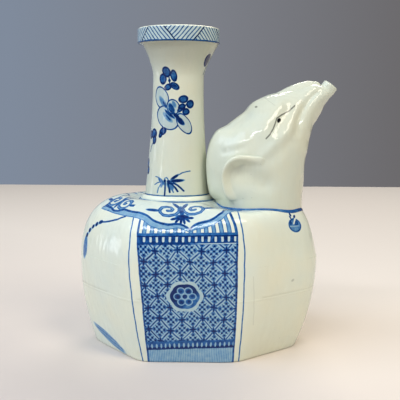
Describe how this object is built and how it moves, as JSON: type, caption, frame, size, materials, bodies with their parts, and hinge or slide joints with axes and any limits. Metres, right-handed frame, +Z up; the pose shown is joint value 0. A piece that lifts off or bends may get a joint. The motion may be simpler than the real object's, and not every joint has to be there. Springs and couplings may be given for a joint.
{
  "type": "kendi",
  "caption": "Elephant-shaped porcelain kendi: faceted hollow body, tall filling neck, upturned head with a pouring spout.",
  "frame": {"origin": "on the table plane under the axis of the neck", "axes": "+Z up along the neck, +X towards the elephant's head and spout, +Y to the elephant's left"},
  "size_m": [0.1635, 0.114, 0.2],
  "materials": {
    "glazed_porcelain": "glossy clear glaze over underglaze cobalt painting",
    "biscuit": "unglazed, fired clay"
  },
  "bodies": {
    "root": {"base_slab": "biscuit", "lower_body": "glazed_porcelain", "upper_body": "glazed_porcelain", "seam_slip": "glazed_porcelain", "neck": "glazed_porcelain", "neck_collar": "glazed_porcelain", "mouth_rim": "glazed_porcelain", "head_left": "glazed_porcelain", "head_right": "glazed_porcelain", "head_coil": "glazed_porcelain", "trunk": "glazed_porcelain", "spout": "glazed_porcelain", "left_ear": "glazed_porcelain", "right_ear": "glazed_porcelain"}
  },
  "joints": []
}
